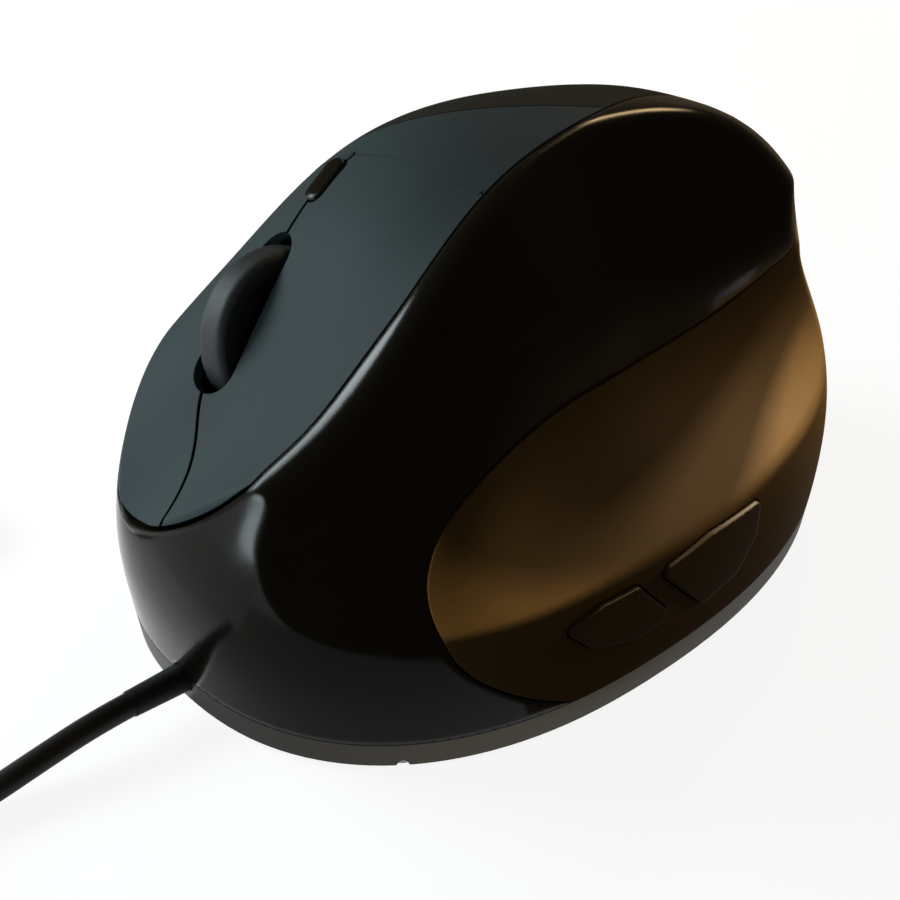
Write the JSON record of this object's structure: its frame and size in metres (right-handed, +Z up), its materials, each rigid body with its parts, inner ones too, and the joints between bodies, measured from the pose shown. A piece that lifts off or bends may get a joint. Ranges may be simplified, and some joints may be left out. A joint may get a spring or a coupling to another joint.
{
  "type": "upright computer mouse",
  "caption": "Right-handed upright computer mouse with sloping finger keys, scroll wheel, thumb rest, side buttons and a coiled cord with plug.",
  "frame": {"origin": "middle of the footprint on the desk, cord and plug left out", "axes": "+Z up from the desk, +Y to the wrist end, so the cord leaves to -Y; +X is the thumb side"},
  "size_m": [0.109, 0.2222, 0.0743],
  "materials": {
    "gloss_black": "polished black housing",
    "soft_grey": "fine matte charcoal keys",
    "palm_grey": "fine matte charcoal palm shell",
    "thumb_matte": "satin black thumb rest",
    "base_black": "matte black base",
    "foot_slick": "slippery foot film",
    "tyre_rubber": "black rubber",
    "inner_black": "moulded black plastic",
    "inner_white": "moulded white plastic",
    "board_green": "coated circuit board",
    "lens_clear": "clear moulded lens",
    "led_red": "clear red lamp",
    "screw_steel": "zinc plated steel",
    "plug_steel": "stamped steel",
    "cord_black": "black cord jacket"
  },
  "bodies": {
    "housing": {"base_plate": "base_black", "glide_feet": "foot_slick", "base_screws": "screw_steel", "main_shell": "gloss_black", "top_cover": "soft_grey", "palm_shell": "palm_grey", "thumb_panel": "thumb_matte", "wheel_guide": "inner_black", "middle_switch": "inner_black", "rate_switch": "inner_black", "button_pcb": "board_green", "left_switch": "inner_black", "right_switch": "inner_black", "main_pcb": "board_green", "optical_sensor": "inner_black", "sensor_lens": "lens_clear", "sensor_led": "led_red", "controller_chip": "inner_black", "cable_connector": "inner_white", "side_pcb": "board_green", "side_switch_front": "inner_black", "side_switch_rear": "inner_black", "inner_frame": "inner_black", "frame_screws": "screw_steel", "board_screws": "screw_steel", "inner_lead": "cord_black", "strain_relief": "cord_black", "cable": "cord_black", "cable_coil": "cord_black", "cable_tie": "cord_black", "usb_plug_body": "cord_black", "usb_plug_shell": "plug_steel", "usb_plug_tongue": "inner_white"},
    "left_key": {"left_button": "soft_grey", "left_plunger": "inner_white"},
    "right_key": {"right_button": "soft_grey", "right_plunger": "inner_white"},
    "cradle": {"wheel_carriage": "inner_black", "scroll_encoder": "inner_black", "middle_plunger": "inner_white"},
    "wheel": {"wheel_tyre": "tyre_rubber", "wheel_hub": "inner_black", "wheel_axle": "screw_steel"},
    "rate_key": {"rate_button": "gloss_black", "rate_plunger": "inner_white"},
    "thumb_key_front": {"side_button_front": "gloss_black", "side_plunger_front": "inner_white"},
    "thumb_key_rear": {"side_button_rear": "gloss_black", "side_plunger_rear": "inner_white"}
  },
  "joints": [
    {"name": "left_button_press", "type": "hinge", "parent": "housing", "child": "left_key", "pos_m": [-0.005, -0.0124, 0.071], "axis": [0.985, 0, 0.1725], "range_deg": [0, 0.7], "stiffness_Nm_per_rad": 2, "springref_deg": -0.17},
    {"name": "right_button_press", "type": "hinge", "parent": "housing", "child": "right_key", "pos_m": [-0.027, -0.0124, 0.06], "axis": [0.985, 0, 0.1725], "range_deg": [0, 0.7], "stiffness_Nm_per_rad": 2, "springref_deg": -0.17},
    {"name": "wheel_press", "type": "slide", "parent": "housing", "child": "cradle", "axis": [0.1915, 0.7193, -0.6677], "range_m": [0, 0.0005], "stiffness_N_per_m": 2500, "springref_m": -0.0001},
    {"name": "wheel_spin", "type": "hinge", "parent": "cradle", "child": "wheel", "pos_m": [-0.01536, -0.0296, 0.04446], "axis": [0.9613, 0, 0.2756], "continuous": true},
    {"name": "rate_press", "type": "slide", "parent": "housing", "child": "rate_key", "axis": [0.1915, 0.7193, -0.6677], "range_m": [0, 0.0005], "stiffness_N_per_m": 2500, "springref_m": -0.0001},
    {"name": "side_front_press", "type": "slide", "parent": "housing", "child": "thumb_key_front", "axis": [-1, 0, 0], "range_m": [0, 0.0005], "stiffness_N_per_m": 2500, "springref_m": -0.0001},
    {"name": "side_rear_press", "type": "slide", "parent": "housing", "child": "thumb_key_rear", "axis": [-1, 0, 0], "range_m": [0, 0.0005], "stiffness_N_per_m": 2500, "springref_m": -0.0001}
  ]
}
